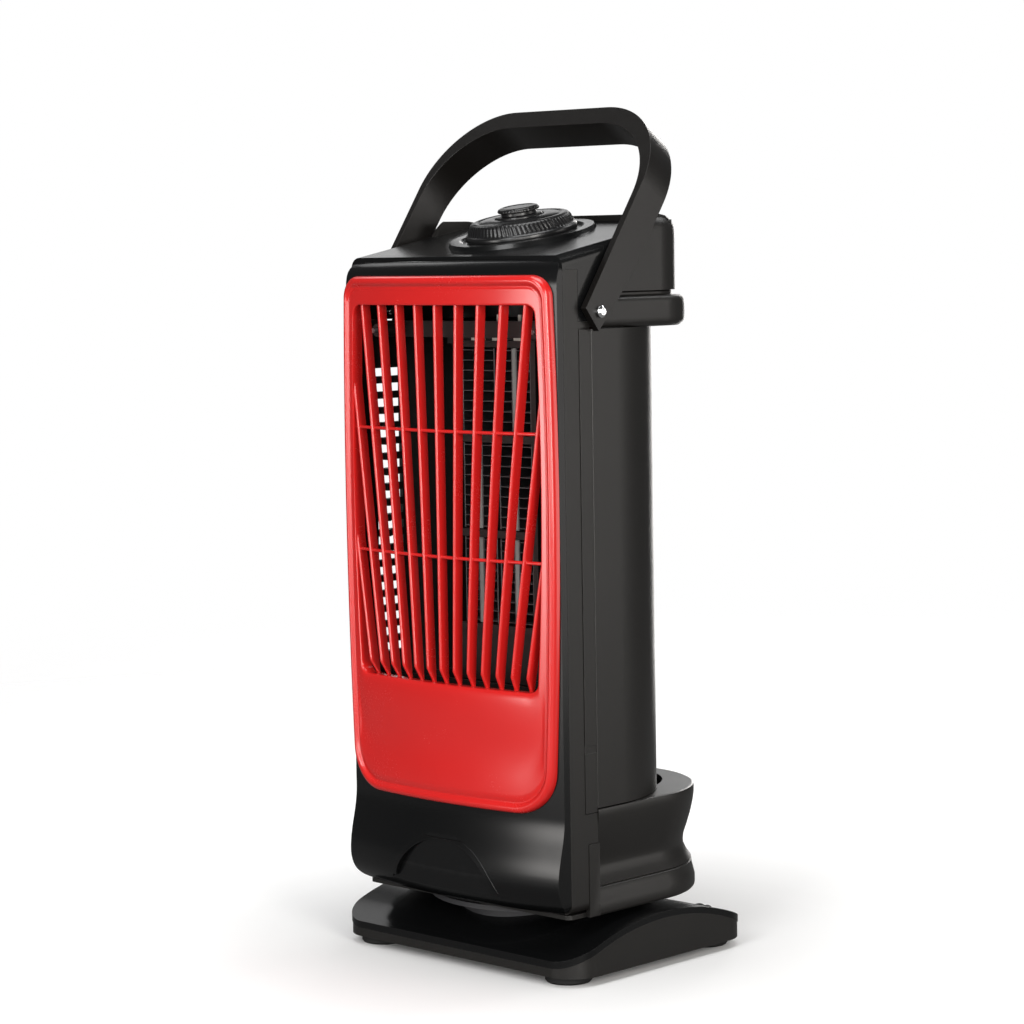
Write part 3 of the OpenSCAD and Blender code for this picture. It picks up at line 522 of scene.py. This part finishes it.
def piece(name, bm, mat, body, gone, sharp):
    bmesh.ops.recalc_face_normals(bm, faces=bm.faces)
    me = bpy.data.meshes.new(name)
    bm.to_mesh(me)
    bm.free()
    me.materials.append(mat)
    me.polygons.foreach_set("use_smooth", [True] * len(me.polygons))
    me.set_sharp_from_angle(angle=math.radians(sharp))
    ob = bpy.data.objects.new(name, me)
    scene.collection.objects.link(ob)
    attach(ob, body)
    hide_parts(gone)


def solid_bar(bm, sections):
    """Closed bar through sections of the same count, capped at both ends."""
    skin(bm, sections)
    bm.faces.new(sections[0])
    bm.faces.new(sections[-1])


back_f = -4                    # how far behind the front the slats and the opening reach
open_z0, open_z1 = 153, 354    # ends of the opening
slat_z0 = 152
slat_count, slat_pitch, slat_spread = 13, 9.71, 5.66   # pitch at the bottom, and its growth to the top
foot_z1, foot_slope, foot_depth = 160.5, 8, 4.6        # where the slats' feet start to slope back
bar_heights, bar_r, bar_f = (220.8, 287.7), (0.95, 1.15), -0.3     # cross bars


def slat_x(i, z):
    """Middle of slat i at z."""
    return i * (slat_pitch + slat_spread * (z - open_z0) / (open_z1 - open_z0))


def slat(bm, i, section):
    """Slat i of the grille, from inside the panel to the side or the top of the opening."""
    z, top = slat_z0, open_z1 + 1.0
    while z < top:
        if abs(slat_x(i, z)) > half_width(open_outline, z) + 0.9:
            top = z
        z += 0.5
    foot = [slat_z0, 153.5, 156, 158.5, foot_z1]
    cols = []
    for z in foot + [162 + (top - 162) * k / 12 for k in range(13)]:
        x = slat_x(i, z)
        back = foot_depth * max(0.0, min(1.0, (foot_z1 - z) / foot_slope))
        cols.append([bm.verts.new(on_bow(x + dx, z, max(back_f, f - back * (f - back_f) / 6)))
                     for dx, f in section])
    solid_bar(bm, cols)


def cross_bar(bm, z):
    cols = []
    for k in range(29):
        x = (half_width(open_outline, z) + 0.6) * (k / 14 - 1)
        cols.append([bm.verts.new(on_bow(x, z + bar_r[0] * math.sin(a), bar_f + bar_r[1] * math.cos(a)))
                     for a in [math.pi / 6 * q for q in range(12)]])
    solid_bar(bm, cols)


def grille():
    bm = bmesh.new()
    rings = []

    def ring(o, f, dish=0.0):
        pts = []
        for x, z in outline(o):
            low = max(0.0, min(1.0, (150 - z) / 30))       # the panel below the opening
            pts.append(bm.verts.new(on_bow(x, z, f - dish * low)))
        rings.append(pts)

    # rounded rim, then the step inside it
    for u, f in [(0, 0.1), (0, 1.2), (0.03, 2.3), (0.09, 3.3), (0.18, 4.05), (0.3, 4.5), (0.42, 4.6),
                 (0.54, 4.5), (0.64, 4.1), (0.72, 3.5), (0.78, 3.0), (0.84, 2.75), (0.9, 2.7), (0.96, 2.8),
                 (1, 3.0)]:
        ring(between(rim_outline, step_outline, u), f)
    # slightly dished panel and surround
    for v in (0.06, 0.14, 0.24, 0.36, 0.5, 0.64, 0.76, 0.86):
        ring(between(step_outline, open_outline, v), 3.0, 1.1 * math.sin(math.pi * v / 0.9) ** 2)
    # rounded edge and wall of the opening, then the back
    for v, f in [(0.93, 2.95), (0.97, 2.7), (0.992, 2.2), (1, 1.4), (1, -1), (1, back_f)]:
        ring(between(step_outline, open_outline, v), f)
    ring(plug_outline, back_f)
    ring(plug_outline, 0.1)
    skin(bm, rings + [rings[0]])
    # slats with a round nose, leaning outwards towards the top
    section = [(-0.8, back_f), (-1, -1), (-1, 0.9), (-0.86, 1.5), (-0.5, 1.88), (0, 2), (0.5, 1.88),
               (0.86, 1.5), (1, 0.9), (1, -1), (0.8, back_f)]
    for i in range(slat_count):
        slat(bm, i - slat_count // 2, section)
    for z in bar_heights:
        cross_bar(bm, z)
    piece("grille_moulded", bm, mats["gloss_red"], "tower", "grille", 50)


grille()
